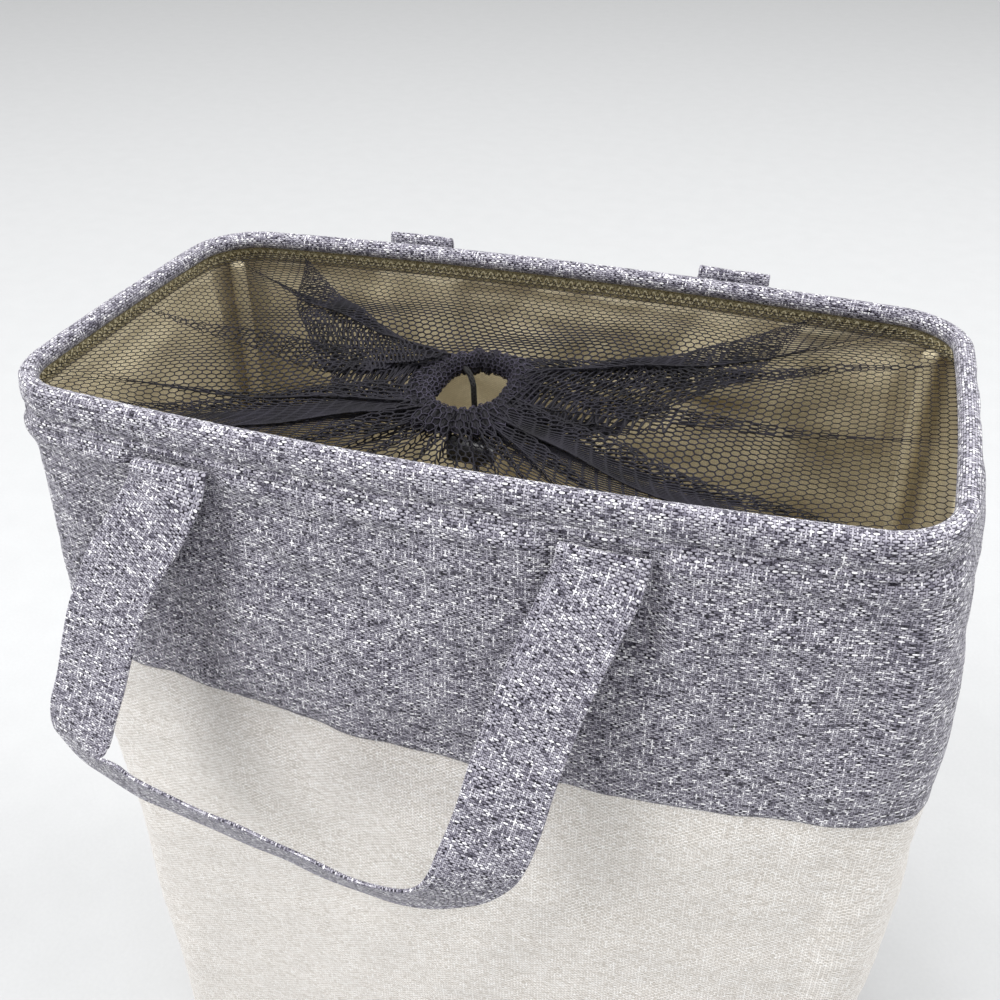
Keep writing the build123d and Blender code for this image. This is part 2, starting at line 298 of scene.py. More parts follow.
def capsule(sides=6):
    """A stitch: unit half length along x, unit radius, pointed a little at its ends."""
    along = np.array([-1.0, -0.8, -0.3, 0.3, 0.8, 1.0])
    thick = np.array([0.15, 0.75, 1.0, 1.0, 0.75, 0.15])
    angle = np.arange(sides) / sides * math.tau
    points = [(x, r * math.cos(a), r * math.sin(a)) for x, r in zip(along, thick) for a in angle]
    faces, _ = grid_faces(len(along), sides, close_columns=True)
    return np.array(points), faces


def stitches(name, path, up, material, pitch=0.0034, share=0.68, radius=0.00032):
    """Row of stitches along a path, each lying on the surface whose outward directions are up."""
    length = distances(path)
    count = max(2, int(length[-1] / pitch))
    ends = np.linspace(0, length[-1], count, endpoint=False)
    step = length[-1] / count
    at = [sampled(s, length, path) for s in (ends, ends + share * step)]
    out = sampled(ends + share * step / 2, length, up)
    run = at[1] - at[0]
    half = np.linalg.norm(run, axis=1, keepdims=True) / 2
    x_axis = run / (2 * half)
    z_axis = unit(out - x_axis * (out * x_axis).sum(1, keepdims=True))
    y_axis = np.cross(z_axis, x_axis)
    axes = np.stack([x_axis * half, y_axis * radius, z_axis * radius], 1)
    points, faces = capsule()
    return joined_pieces(name, points, faces, ((at[0] + at[1]) / 2, axes), material)


# ---------------------------------------------------------------- materials


def srgb(red, green, blue):
    """Linear colour of an 8-bit screen colour."""
    channels = [c / 255 for c in (red, green, blue)]
    return tuple(c / 12.92 if c <= 0.04 else ((c + 0.055) / 1.055) ** 2.4 for c in channels) + (1.0,)


class Shader:
    """A node material in few words."""

    def __init__(self, name, **sockets):
        self.material = bpy.data.materials.new(name)
        self.material.use_nodes = True
        self.nodes = self.material.node_tree.nodes
        self.links = self.material.node_tree.links
        self.surface = self.nodes["Principled BSDF"]
        for socket, value in sockets.items():
            self.surface.inputs[socket.replace("_", " ")].default_value = value

    def put(self, value, socket):
        if isinstance(value, bpy.types.NodeSocket):
            self.links.new(value, socket)
        else:
            socket.default_value = value

    def node(self, kind, inputs, **settings):
        made = self.nodes.new("ShaderNode" + kind)
        for key, value in settings.items():
            setattr(made, key, value)
        for key, value in inputs.items():
            self.put(value, made.inputs[key])
        return made

    def math(self, operation, a, b=0.0, clamp=False):
        return self.node("Math", {0: a, 1: b}, operation=operation, use_clamp=clamp).outputs[0]

    def plus(self, a, b, clamp=False):
        return self.math("ADD", a, b, clamp)

    def minus(self, a, b, clamp=False):
        return self.math("SUBTRACT", a, b, clamp)

    def times(self, a, b, clamp=False):
        return self.math("MULTIPLY", a, b, clamp)

    def over(self, a, b):
        return self.math("DIVIDE", a, b)

    def fall(self, offset, half_width, power=2.0):
        """From 0 at offset 0 to 1 at half_width either side, steeper with power."""
        return self.math("POWER", self.over(self.math("ABSOLUTE", offset), half_width), power)

    def mixed(self, a, b, share):
        """Share of a with the rest from b."""
        return self.plus(self.times(a, share), self.times(b, 1 - share))

    def mix(self, factor, a, b):
        """Number between a and b."""
        return self.node("Mix", {"Factor": factor, 2: a, 3: b}, data_type="FLOAT").outputs[0]

    def blend(self, factor, a, b, kind="MIX"):
        """Colour between a and b."""
        made = self.node("Mix", {"Factor": factor, 6: a, 7: b}, data_type="RGBA", blend_type=kind)
        return made.outputs[2]

    def vector(self, x, y, z=0.0):
        return self.node("CombineXYZ", {0: x, 1: y, 2: z}).outputs[0]

    def noise(self, place, scale, detail=2.0, output="Fac"):
        return self.node("TexNoise", {"Vector": place, "Scale": scale, "Detail": detail}).outputs[output]

    def ramp(self, value, stops):
        made = self.nodes.new("ShaderNodeValToRGB")
        self.put(value, made.inputs[0])
        elements = made.color_ramp.elements
        for _ in stops[2:]:
            elements.new(0.5)
        for element, (place, colour) in zip(elements, stops):
            element.position = place
            element.color = colour
        return made.outputs[0]

    def split(self, socket):
        return tuple(self.node("SeparateXYZ", {0: socket}).outputs)

    def cloth_place(self):
        return self.node("UVMap", {}, uv_map="cloth").outputs[0]

    def object_place(self):
        return self.node("TexCoord", {}).outputs["Object"]

    def finish(self, colour, height, strength, distance, roughness=None):
        self.put(colour, self.surface.inputs["Base Color"])
        if roughness is not None:
            self.put(roughness, self.surface.inputs["Roughness"])
        bump = self.node("Bump", {"Strength": strength, "Distance": distance, "Height": height})
        self.put(bump.outputs[0], self.surface.inputs["Normal"])
        return self.material


# The weave's shape, in shares of the distance between yarns
FLOAT_END, FLOAT_SIDE, UPRIGHT_SIDE = 0.74, 0.43, 0.25
# How far colour runs along a yarn, how high an upright yarn stands beside a float, and the edges' steepness
DASH, UPRIGHT_HEIGHT, EDGE = 0.30, 0.62, 3.2
# Distance in the noise between one yarn and the next, and how much the yarns wander across and along
APART, WANDER = 17.37, (0.48, 0.72)


def woven(name, pitch, stops, gap_shade=0.35, bump=0.6, sheen=0.2, rough=0.85):
    """Linen-look plain weave: long thick floats across slim upright yarns, each changing colour along itself,
    with painted shade down the yarns' edges and in the gaps between them.

    pitch is the distance between upright yarns and between rows; the argument after stops sets the tone of
    the painted shade between the yarns.
    """
    s = Shader(name, Roughness=rough, Sheen_Weight=sheen, Sheen_Roughness=0.5, Specular_IOR_Level=0.25)
    place = s.cloth_place()
    u, v, _ = s.split(place)
    drift = s.node("SeparateColor", {0: s.noise(place, 70.0, 3.0, "Color")}).outputs
    u = s.plus(s.over(u, pitch[0]), s.times(drift[0], WANDER[0]))
    v = s.plus(s.over(v, pitch[1]), s.times(drift[1], WANDER[1]))
    column, row = s.math("FLOOR", u), s.math("FLOOR", v)
    across = s.minus(s.math("FRACT", u), 0.5)
    down = s.minus(s.math("FRACT", v), 0.5)
    shifted = s.plus(s.minus(u, 0.5), row)
    along = s.minus(s.math("FLOORED_MODULO", shifted, 2.0), 1.0)
    upright = s.noise(s.vector(s.times(column, APART), s.times(v, DASH), 3.0), 1.0, 1.0)
    level = s.noise(s.vector(s.times(u, DASH), s.times(row, APART), 9.0), 1.0, 1.0)
    level_height = s.minus(s.minus(1.0, s.fall(along, FLOAT_END, 6.0)), s.fall(down, FLOAT_SIDE), clamp=True)
    upright_height = s.times(s.minus(1.0, s.fall(across, UPRIGHT_SIDE), clamp=True), UPRIGHT_HEIGHT)
    on_upright = s.times(upright_height, EDGE, clamp=True)
    on_level = s.times(level_height, EDGE, clamp=True)
    # Painted shade: the dark tone in the gaps between the yarns.
    between = s.plus(s.times(s.noise(place, 900.0, 1.0), 0.2), gap_shade - 0.1)
    upright = s.minus(upright, 0.03)
    level = s.plus(s.times(level, 0.62), 0.20)
    colour = s.ramp(s.mix(on_level, s.mix(on_upright, between, upright), level), stops)
    height = s.math("MAXIMUM", level_height, upright_height)
    # Painted shade: the colour is darkened where the yarns fall away, down their edges and between them.
    shade = s.plus(s.times(height, 0.42), 0.66, clamp=True)
    dark = s.blend(1.0, colour, s.node("CombineColor", {0: shade, 1: shade, 2: shade}).outputs[0], "MULTIPLY")
    fibre = s.noise(s.object_place(), 2600.0, 2.0)
    return s.finish(dark, s.plus(height, s.times(fibre, 0.3)), bump, 0.0004)


def speckled(name, low, high, scale, rough, bump=0.2):
    """Plain stuff with a fine grain in its colour, gloss and surface."""
    s = Shader(name)
    place = s.object_place()
    grain = s.noise(place, scale, 4.0)
    broad = s.noise(place, scale / 12, 2.0)
    colour = s.ramp(s.mixed(grain, broad, 0.6), [(0.35, low), (0.65, high)])
    gloss = s.plus(s.times(grain, 0.16), rough - 0.08, clamp=True)
    return s.finish(colour, grain, bump, 0.0002, gloss)


def braided(name, low, high, pitch):
    """Cord braid: two crossing sets of slanting strands, with painted shade in the grooves between them."""
    s = Shader(name, Roughness=0.75, Sheen_Weight=0.05, Specular_IOR_Level=0.2)
    x, y, z = s.split(s.object_place())
    turn = s.over(s.plus(x, y), pitch)
    rise = s.over(z, pitch)
    one = s.math("SINE", s.times(s.plus(rise, turn), math.tau))
    two = s.math("SINE", s.times(s.minus(rise, turn), math.tau))
    height = s.math("MAXIMUM", one, two)
    # Painted shade: lighter where the strands stand high, darker down in the grooves between them.
    colour = s.ramp(s.plus(s.times(height, 0.3), 0.4), [(0.25, low), (0.7, high)])
    return s.finish(colour, height, 0.6, 0.0004)


def brushed(name, colour, rough):
    """Drawn metal, with fine lines in its gloss."""
    s = Shader(name, Metallic=1.0)
    x, y, z = s.split(s.object_place())
    lines = s.noise(s.vector(x, y, s.times(z, 40.0)), 90.0, 4.0)
    tint = s.ramp(lines, [(0.3, tuple(0.8 * c for c in colour[:3]) + (1.0,)), (0.7, colour)])
    gloss = s.plus(s.times(lines, 0.2), rough - 0.1)
    return s.finish(tint, lines, 0.15, 0.0001, gloss)


def fibreglass():
    """Pultruded rod, with fibres along it."""
    s = Shader("rod_fibreglass", Roughness=0.4, Specular_IOR_Level=0.5)
    x, y, z = s.split(s.object_place())
    fibres = s.noise(s.vector(x, y, s.times(z, 0.03)), 1800.0, 3.0)
    colour = s.ramp(fibres, [(0.35, srgb(214, 212, 200)), (0.65, srgb(238, 237, 230))])
    return s.finish(colour, fibres, 0.2, 0.0002)


def net_yarn(name, low, high):
    """Knitted net: near-black filament, its paler greyish patches a painted highlight."""
    s = Shader(name, Roughness=0.6, Sheen_Weight=0.04, Sheen_Roughness=0.4, Specular_IOR_Level=0.25)
    place = s.object_place()
    twist = s.noise(place, 2200.0, 2.0)
    broad = s.noise(place, 60.0, 2.0)
    # Painted highlight: the paler colour stands in for the filament's gloss.
    colour = s.ramp(s.mixed(twist, broad, 0.5), [(0.35, low), (0.65, high)])
    return s.finish(colour, twist, 0.5, 0.0003)


# Colours of the cloths' yarns, from dark to light
GREYS = [
    (0.35, srgb(24, 21, 34)),
    (0.43, srgb(106, 103, 117)),
    (0.49, srgb(156, 153, 165)),
    (0.565, srgb(186, 184, 193)),
    (0.61, srgb(250, 249, 252)),
]
BEIGES = [(0.34, srgb(202, 195, 186)), (0.5, srgb(236, 231, 225)), (0.64, srgb(251, 249, 246))]
LININGS = [(0.35, srgb(206, 193, 160)), (0.5, srgb(220, 207, 174)), (0.64, srgb(234, 222, 190))]
KHAKIS = [(0.36, srgb(120, 110, 80)), (0.5, srgb(172, 161, 124)), (0.64, srgb(206, 196, 160))]

MATERIALS = {
    "grey_linen": woven("grey_linen", (0.00172, 0.00114), GREYS),
    "beige_linen": woven("beige_linen", (0.0017, 0.0011), BEIGES, gap_shade=0.40, bump=0.5),
    "coated_lining": woven("coated_lining", (0.0012, 0.0008), LININGS, bump=0.25, sheen=0.1, rough=0.45),
    "khaki_tape": woven("khaki_tape", (0.0012, 0.0009), KHAKIS),
    "hex_mesh": net_yarn("hex_mesh", srgb(10, 9, 13), srgb(36, 34, 44)),
    "casing_net": net_yarn("casing_net", srgb(26, 24, 32), srgb(70, 66, 82)),
    "black_cord": braided("black_cord", srgb(8, 8, 9), srgb(36, 35, 36), 0.0022),
    "frame_tube": brushed("frame_tube", srgb(222, 223, 226), 0.32),
    "joiner_steel": brushed("joiner_steel", srgb(190, 190, 194), 0.3),
    "rod_fibreglass": fibreglass(),
    "cap_plastic": speckled("cap_plastic", srgb(30, 30, 32), srgb(48, 48, 50), 900.0, 0.45),
    "board": speckled("board", srgb(140, 140, 143), srgb(158, 158, 160), 400.0, 0.5),
    "lock_plastic": speckled("lock_plastic", srgb(26, 26, 28), srgb(44, 44, 47), 1500.0, 0.38),
    "spring_steel": brushed("spring_steel", srgb(200, 200, 204), 0.25),
}
GREY_THREAD = speckled("grey_thread", srgb(120, 118, 132), srgb(178, 176, 188), 1800.0, 0.7)
KHAKI_THREAD = speckled("khaki_thread", srgb(214, 203, 164), srgb(240, 232, 202), 1800.0, 0.6)


def dress(piece, body="root"):
    """Rides a piece on a body."""
    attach(piece, body)
    return piece


# ---------------------------------------------------------------- the camera

CAMERA_PLACE = Vector((0.16159, -0.47769, RIM_Z + 0.25039))
CAMERA_RIGHT = Vector((0.94783, 0.31867, -0.00777))
CAMERA_UP = Vector((-0.17190, 0.53148, 0.82945))


def make_camera():
    """The photograph's view."""
    data = bpy.data.cameras.new("camera")
    data.lens = 39.6
    data.sensor_width = 36.0
    data.clip_start = 0.02
    made = linked(bpy.data.objects.new("camera", data))
    back = CAMERA_RIGHT.cross(CAMERA_UP).normalized()
    axes = Matrix((CAMERA_RIGHT, CAMERA_UP, back)).transposed()
    made.matrix_world = Matrix.Translation(CAMERA_PLACE) @ axes.to_4x4()
    bpy.context.scene.camera = made


make_camera()

# ---------------------------------------------------------------- the drawcord's tail

# The CAD's route for it
TAIL_ROUTE = [
    (-0.020265, -0.002776, 0.547),
    (-0.015491, -0.007895, 0.547),
    (-0.012243, -0.011378, 0.54425),
    (-0.010367, -0.013390, 0.539487),
    (-0.010367, -0.013389, 0.441487),
]
CORD_R = 0.0015


def drawcord_tail():
    """The cord from its exit at the ring down to its knot."""
    data = bpy.data.curves.new("drawcord_tail_braid", "CURVE")
    data.dimensions = "3D"
    data.bevel_depth = CORD_R
    data.bevel_resolution = 5
    data.resolution_u = 24
    data.use_fill_caps = True
    spline = data.splines.new("NURBS")
    spline.points.add(len(TAIL_ROUTE) - 1)
    for point, place in zip(spline.points, TAIL_ROUTE):
        point.co = (*place, 1.0)
    spline.order_u = 3
    spline.use_endpoint_u = True
    data.materials.append(MATERIALS["black_cord"])
    made = linked(bpy.data.objects.new("drawcord_tail_braid", data))
    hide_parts("drawcord_tail")
    return dress(made)


def cord_knot():
    """Overhand knot at the tail's end, as a trefoil of the cord pulled tight."""
    low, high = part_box("drawcord_knot")
    centre, room = (low + high) / 2, (high.z - low.z) / 2
    thick = CORD_R * 0.82
    count, sides = 96, 12
    t = shares(count) * math.tau
    line = np.stack([np.sin(t) + 2 * np.sin(2 * t), -np.sin(3 * t) * 1.1, np.cos(t) - 2 * np.cos(2 * t)], -1)
    line *= (room - thick * 0.9) / 3
    ahead = unit(np.roll(line, -1, 0) - np.roll(line, 1, 0))
    side = unit(np.cross(ahead, [0, 1, 0]))
    points = np.array(centre) + line[:, None] + circles(side, np.cross(ahead, side), sides) * thick
    uv = uv_grid(np.linspace(0, 0.05, count + 1), np.linspace(0, 0.009, sides + 1))
    made = sheet_grid("drawcord_overhand_knot", points, MATERIALS["black_cord"], uv, True, True)
    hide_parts("drawcord_knot")
    return dress(made)


tail = drawcord_tail()
knot = cord_knot()


# ---------------------------------------------------------------- walls and lining

LOOP_STEP = 0.0025
STRAP_LOW, STRAP_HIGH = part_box("front_left_anchor")
STRAP_WIDTH = STRAP_HIGH.x - STRAP_LOW.x
ANCHOR_LOW = STRAP_LOW.z
# How far the grey wall reaches down past its seam, the beige one up behind it, and the grey one up
# into the rim's band
LAP, LAP_BEHIND, LAP_BAND = 0.002, 0.008, 0.003


def anchor_centre(node):
    low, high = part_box(node)
    return (low.x + high.x) / 2


FRONT_ENDS = (anchor_centre("front_left_anchor"), anchor_centre("front_right_anchor"))
BACK_ENDS = (anchor_centre("back_left_anchor"), anchor_centre("back_right_anchor"))

# Half the bag's length and depth that the bulges die out over
BULGE_X, BULGE_Y = 0.2, 0.085
# The bulges: how far out, and the height where they are widest
RIGHT_BULGE = (0.0190, 0.385)
LEFT_HOLLOW = (0.0085, 0.450)
FRONT_BULGE = (0.008, 0.330)
BACK_BULGE = (0.007, 0.300)
# The hollow behind the front's left strap: middle (x, z), half size (x, z) and depth
STRAP_HOLLOW = (-0.062, 0.487, 0.045, 0.022, 0.0042)
# The lip of cloth under the rim's band: drop below the band, half height and how far out
LIP_DROP, LIP_HALF, LIP_OUT = 0.0085, 0.0055, 0.0024
# Margin round a strap's sewn end where the wall lies flat
ANCHOR_MARGIN = 0.012

# Soft ridges of the long sides: place (x, z), way in degrees, length, half width and height
RIDGES = [
    (-0.075, 0.480, -38, 0.060, 0.009, 0.0030),
    (-0.060, 0.500, -12, 0.070, 0.007, 0.0018),
    (-0.030, 0.455, -50, 0.070, 0.010, 0.0022),
    (-0.098, 0.466, -75, 0.040, 0.008, 0.0022),
    (0.125, 0.478, -55, 0.060, 0.009, 0.0024),
    (0.160, 0.505, -20, 0.060, 0.008, 0.0018),
    (0.060, 0.470, -120, 0.050, 0.009, 0.0020),
    (0.015, 0.515, 6, 0.110, 0.006, 0.0012),
    (0.185, 0.440, -70, 0.080, 0.012, 0.0026),
    (-0.160, 0.450, -100, 0.080, 0.010, 0.0022),
]


def ridges(points, side):
    """Height of the soft ridges at points on the front (side -1) or the back (side 1)."""
    total = np.zeros(points.shape[:-1])
    for x, z, way, length, width, height in RIDGES:
        gap_x, gap_z = points[..., 0] * -side - x, points[..., 2] - z
        c, s = math.cos(math.radians(way)), math.sin(math.radians(way))
        total += height * bell(gap_z * c - gap_x * s, width) * bell(gap_x * c + gap_z * s, length / 2)
    return total


def wall_bulge(s, z):
    """How far the hanging cloth stands out of the straight walls, at s along the rim and height z."""
    place, normal = along_loop(s)
    points = np.concatenate([place, z[..., None]], -1)
    x, y = place[..., 0], place[..., 1]
    right, left = ease(normal[..., 0], 0.3, 1.0), ease(-normal[..., 0], 0.8, 1.0)
    back, front = ease(normal[..., 1], 0.4, 1.0), ease(-normal[..., 1], 0.4, 1.0)
    mid_x = np.clip(1 - (x / BULGE_X) ** 2, 0, 1)
    mid_y = np.clip(1 - (y / BULGE_Y) ** 2, 0, 1)
    out = RIGHT_BULGE[0] * right * hump(z, RIGHT_BULGE[1]) * (0.6 + 0.4 * mid_y)
    out -= LEFT_HOLLOW[0] * left * hump(z, LEFT_HOLLOW[1]) * mid_y * ease(z, 0.1, 0.35)
    out += FRONT_BULGE[0] * front * hump(z, FRONT_BULGE[1]) * mid_x * (1 + 0.5 * x / BULGE_X)
    out += BACK_BULGE[0] * back * hump(z, BACK_BULGE[1]) * mid_x
    hollow_x, hollow_z, half_x, half_z, depth = STRAP_HOLLOW
    out -= depth * bell(x - hollow_x, half_x) * bell(z - hollow_z, half_z) * front
    out += front * ridges(points, -1) + back * ridges(points, 1)
    corner = ease(1 - np.maximum(np.abs(normal[..., 0]), np.abs(normal[..., 1])), 0.0, 0.25)
    flat = 1 - corner
    loose = hump(z, 0.420) ** 0.5
    out += loose * flat * 0.0016 * ripple(points, 0.040, 11, (1.0, 1.0, 1.5))
    out += loose * flat * 0.0008 * ripple(points, 0.016, 12, (1.4, 1.4, 1.0))
    out += loose * 0.0022 * corner * (1 + ripple(points, 0.030, 13, (1, 1, 2.5)))
    out += 0.00018 * ripple(points, 0.006, 14)
    anchors = np.zeros(z.shape)
    for side, ends in ((front, FRONT_ENDS), (back, BACK_ENDS)):
        for end in ends:
            under = ease(STRAP_WIDTH / 2 + ANCHOR_MARGIN - np.abs(x - end), 0, ANCHOR_MARGIN)
            anchors = np.maximum(anchors, side * under * ease(z, ANCHOR_LOW - ANCHOR_MARGIN, ANCHOR_LOW))
    lip = bell(SKIRT_Z - LIP_DROP - z, LIP_HALF) * (1 + 0.3 * ripple(points, 0.02, 15))
    out += LIP_OUT * lip * (1 - 0.6 * right)
    return out * (1 - anchors)


def wall_grid(low, high, offset, step=0.003):
    """Places on a wall between two heights, offset out from the rim's centreline, and their UV places."""
    z = np.linspace(high, low, int((high - low) / step) + 2)
    columns = int(LOOP_LENGTH / LOOP_STEP)
    s_grid, z_grid = np.meshgrid(shares(columns) * LOOP_LENGTH, z)
    uv = rim_uv(z, columns)
    return around(s_grid, offset + wall_bulge(s_grid, z_grid), z_grid), uv


def upper_wall():
    """Grey wall, from just under its seam up into the rim's band."""
    points, uv = wall_grid(SEAM_Z - LAP, SKIRT_Z + LAP_BAND, WALL_OFFSET, 0.0025)
    made = cloth_loop("upper_wall", "grey_linen", points, uv, CLOTH)
    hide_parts("upper_body")
    return dress(made)


def lower_wall():
    """Beige wall, from behind the grey one's edge to its turn under the bottom panel."""
    top = SEAM_Z + LAP_BEHIND
    points, uv = wall_grid(PANEL_TOP, top, WALL_OFFSET - CLOTH)
    made = cloth_loop("lower_wall", "beige_linen", points, uv, CLOTH)
    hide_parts("lower_body")
    return dress(made)


def lining_wall():
    """Thin coated lining, creased where it hangs free behind the wall."""
    points, uv = wall_grid(FLOOR_Z, SKIRT_Z, LINING_OFFSET)
    inward = 0.0060 * np.abs(ripple(points, 0.050, 21, (1, 1, 1.6))) + 0.0014 * ripple(points, 0.018, 22)
    _, normal = along_loop(uv[:, :-1, 0])
    flat_side = ease(np.maximum(np.abs(normal[..., 0]), np.abs(normal[..., 1])), 0.93, 0.995)
    free = hump(points[..., 2], 0.45) ** 0.4 * flat_side
    points[..., :2] -= normal * (free * np.maximum(inward, 0.0))[..., None]
    made = cloth_loop("lining", "coated_lining", points, uv, THIN_CLOTH, flip=False)
    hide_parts("lining_wall")
    return dress(made)


# How high a sleeve domes over its rod's cap, and into how many gathers it is drawn there
DOME, GATHERS = 0.0018, 9


def rod_sleeve(corner):
    """Sleeve of lining cloth sewn round a corner rod, gathered shut over its cap."""
    low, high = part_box("rod_sleeve_" + corner)
    centre, radius = (low + high) / 2, (high.x - low.x) / 2
    cap_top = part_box("rod_end_caps")[1].z
    dome = np.radians(np.linspace(0, 88, 9))
    straight = 171
    up = np.linspace(low.z, cap_top, straight + 1)[:-1]
    z = np.concatenate([up, cap_top + DOME * np.sin(dome)])
    shut = np.concatenate([np.zeros(straight), 1 - np.cos(dome)])[:, None]
    a_grid, z_grid = np.meshgrid(shares(30) * math.tau, z)
    round_way = np.stack([np.cos(a_grid), np.sin(a_grid)], -1)
    middle = np.array(centre)[:2]
    probe = np.concatenate([middle + round_way * radius, z_grid[..., None]], -1)
    loose = 0.0002 * ripple(probe, 0.012, 24, (1, 1, 0.5)) + 0.0005 * shut * np.cos(GATHERS * a_grid)
    r = (radius + np.clip(loose, -0.0001, 0.0005)) * (1 - 0.98 * shut)
    points = np.concatenate([middle + round_way * r[..., None], z_grid[..., None]], -1)
    uv = uv_grid(z, np.linspace(0, math.tau * radius, a_grid.shape[1] + 1))
    made = cloth_loop("sleeve_" + corner, "coated_lining", points, uv, THIN_CLOTH, 0.0)
    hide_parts("rod_sleeve_" + corner)
    return dress(made)


def filled_loop(name, slot_name, offset, z, thickness, wave=0.0, flip=False):
    """Sheet that fills the outline, as rings that shrink to its middle."""
    edge = around(shares(240) * LOOP_LENGTH, offset, z)
    share = np.linspace(1, 0.004, 40)[:, None, None]
    points = edge[None] * np.array([1, 1, 0]) * share + np.array([0, 0, z])
    points[..., 2] += wave * ripple(points, 0.05, 31) * (1 - share[..., 0] ** 6)
    wide = np.concatenate([points, points[:, :1]], 1)
    return cloth_loop(name, slot_name, points, wide[..., :2].copy(), thickness, flip=flip)


def lining_floor():
    """Lining over the base board, a little wavy."""
    z = FLOOR_Z - THIN_CLOTH
    made = filled_loop("lining_base", "coated_lining", LINING_OFFSET, z, THIN_CLOTH, wave=0.0004)
    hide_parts("lining_floor")
    return dress(made)


def bottom_panel():
    """Bottom cloth, sewn to the wall's foot."""
    made = filled_loop("bottom_cloth", "beige_linen", WALL_OFFSET - CLOTH / 2, 0.0009, CLOTH, flip=True)
    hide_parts("bottom_panel")
    return dress(made)


# The rolled seam at the foot: its radius, how much its stitches pinch it, their spacing and its height
PIPING_R, PINCH, PINCH_EVERY, PIPING_Z = 0.0016, 0.00012, 0.004, 0.00175


def foot_piping():
    """Rolled seam where wall and bottom meet."""
    columns, sides = 640, 12
    s_grid, a_grid = np.meshgrid(shares(columns) * LOOP_LENGTH, shares(sides) * math.tau)
    radius = PIPING_R + PINCH * np.sin(s_grid * math.tau / PINCH_EVERY)
    points = around(s_grid, WALL_OFFSET + radius * np.cos(a_grid), PIPING_Z + radius * np.sin(a_grid))
    uv = rim_uv(np.linspace(0, 0.01, sides + 1), columns)
    made = sheet_grid("foot_seam", points, MATERIALS["beige_linen"], uv, True, True, flip=True)
    return dress(made)


upper_wall()
lower_wall()
lining_wall()
for corner in ("front_left", "front_right", "back_left", "back_right"):
    rod_sleeve(corner)
lining_floor()
bottom_panel()
foot_piping()

# ---------------------------------------------------------------- the rim's band and its stitching

# Radius of the band's cloth round the tube
ROLL_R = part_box("rim_channel")[1].z - RIM_Z - CLOTH / 2
# How far the sewn groove lies below the rim's centre, how far out its stitches lie, and the spacing of
# the small puckers they pull
GROOVE_DROP = 0.0115
GROOVE_OFFSET = 0.0033
PULL_EVERY = 0.0085


def band_section():
    """Offsets and heights from the rim's centre, from the inner edge round the tube to the outer edge."""
    inner = [(0.0021, -0.0138), (0.0021, -0.0110), (0.0022, -0.0080), (0.0022, -0.0056)]
    angle = np.radians(np.linspace(-66, -330, 30))
    roll = [(ROLL_R * math.cos(a), ROLL_R * math.sin(a)) for a in angle]
    outer = [
        (0.00475, -0.0030), (0.00478, -0.0050), (0.00468, -0.0070), (0.00430, -0.0090),
        (0.00350, -0.0104), (0.00290, -0.0112), (0.00285, -0.0118), (0.00350, -0.0126),
        (0.00440, -0.0136), (0.00470, -0.0146), (0.00450, -0.0152),
    ]
    return np.array(inner + roll + outer)


def section_loop(section, columns):
    """Distance along the rim, offset and height of each place of a section repeated along the rim."""
    s = np.tile(shares(columns) * LOOP_LENGTH, (len(section), 1))
    return s, np.tile(section[:, :1], columns), np.tile(section[:, 1:], columns)


def rim_band():
    """One band of cloth, folded over the tube and sewn below it."""
    section = band_section()
    columns = int(LOOP_LENGTH / 0.002)
    s_grid, offset, height = section_loop(section, columns)
    points = around(s_grid, offset, RIM_Z + height)
    outside = ease(section[:, 0], 0.0, 0.004)[:, None]
    soft = 0.00028 * ripple(points, 0.011, 41) + 0.0004 * ripple(points, 0.035, 42)
    pull = 0.00022 * np.sin(s_grid * math.tau / PULL_EVERY + 2 * ripple(points, 0.03, 43))
    near = bell(section[:, 1] + GROOVE_DROP, 0.004)[:, None]
    points = around(s_grid, offset + (np.minimum(soft, 0.0002) + pull * near) * outside, RIM_Z + height)
    lengths = distances(section)
    uv = rim_uv(lengths, columns)
    made = cloth_loop("rim_band", "grey_linen", points, uv, CLOTH, 0.0)
    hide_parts("rim_channel", "rim_skirt")
    return dress(made)


def outward(s, way=1.0):
    """Directions out from the rim at distances s along it, or inwards where way is -1."""
    _, normal = along_loop(s)
    return np.concatenate([normal * way, np.zeros((len(s), 1))], -1)


def rim_stitches():
    """Stitches along the groove under the tube."""
    s = np.linspace(0, LOOP_LENGTH, 1400)
    path = around(s, GROOVE_OFFSET, RIM_Z - GROOVE_DROP)
    return dress(stitches("rim_stitches", path, outward(s), GREY_THREAD, pitch=0.0036))


# The overlock's zigzag: the length of one and how far it swings up and down
OVERLOCK_EVERY, OVERLOCK_SWING = 0.005, 0.0028


def edge_tape():
    """Narrow tape that holds the net and the lining to the rim, with its overlock stitches."""
    low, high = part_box("mesh_binding")
    edge = high.x - HALF_LONG - SHORT_BOW
    section = np.array([
        (0, 0), (-0.0006, 0.0004), (-0.0011, 0.0022), (-0.0012, 0.0045),
        (-0.0010, 0.0072), (-0.0004, 0.0086), (0, 0.0089),
    ])
    columns = 700
    s_grid, offset, height = section_loop(section, columns)
    rough = 0.0002 * np.sin(s_grid * math.tau / 0.003)
    points = around(s_grid, edge + offset * 0.55 + rough, low.z + height)
    uv = rim_uv(np.linspace(0, 0.01, len(section)), columns)
    made = cloth_loop("mesh_edge_tape", "khaki_tape", points, uv, TAPE, flip=False)
    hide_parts("mesh_binding")
    dress(made)
    s = np.linspace(0, LOOP_LENGTH, 1800)
    wave = np.sin(s * math.tau / OVERLOCK_EVERY)
    path = around(s, edge - 0.0013, (low.z + high.z) / 2 + OVERLOCK_SWING * wave)
    style = {"pitch": 0.0025, "share": 1.0, "radius": 0.0004}
    sewn = stitches("mesh_edge_overlock", path, outward(s, -1), KHAKI_THREAD, **style)
    return dress(sewn)


rim_band()
rim_stitches()
edge_tape()

# ---------------------------------------------------------------- the gathered net

NET_PITCH = 0.0046
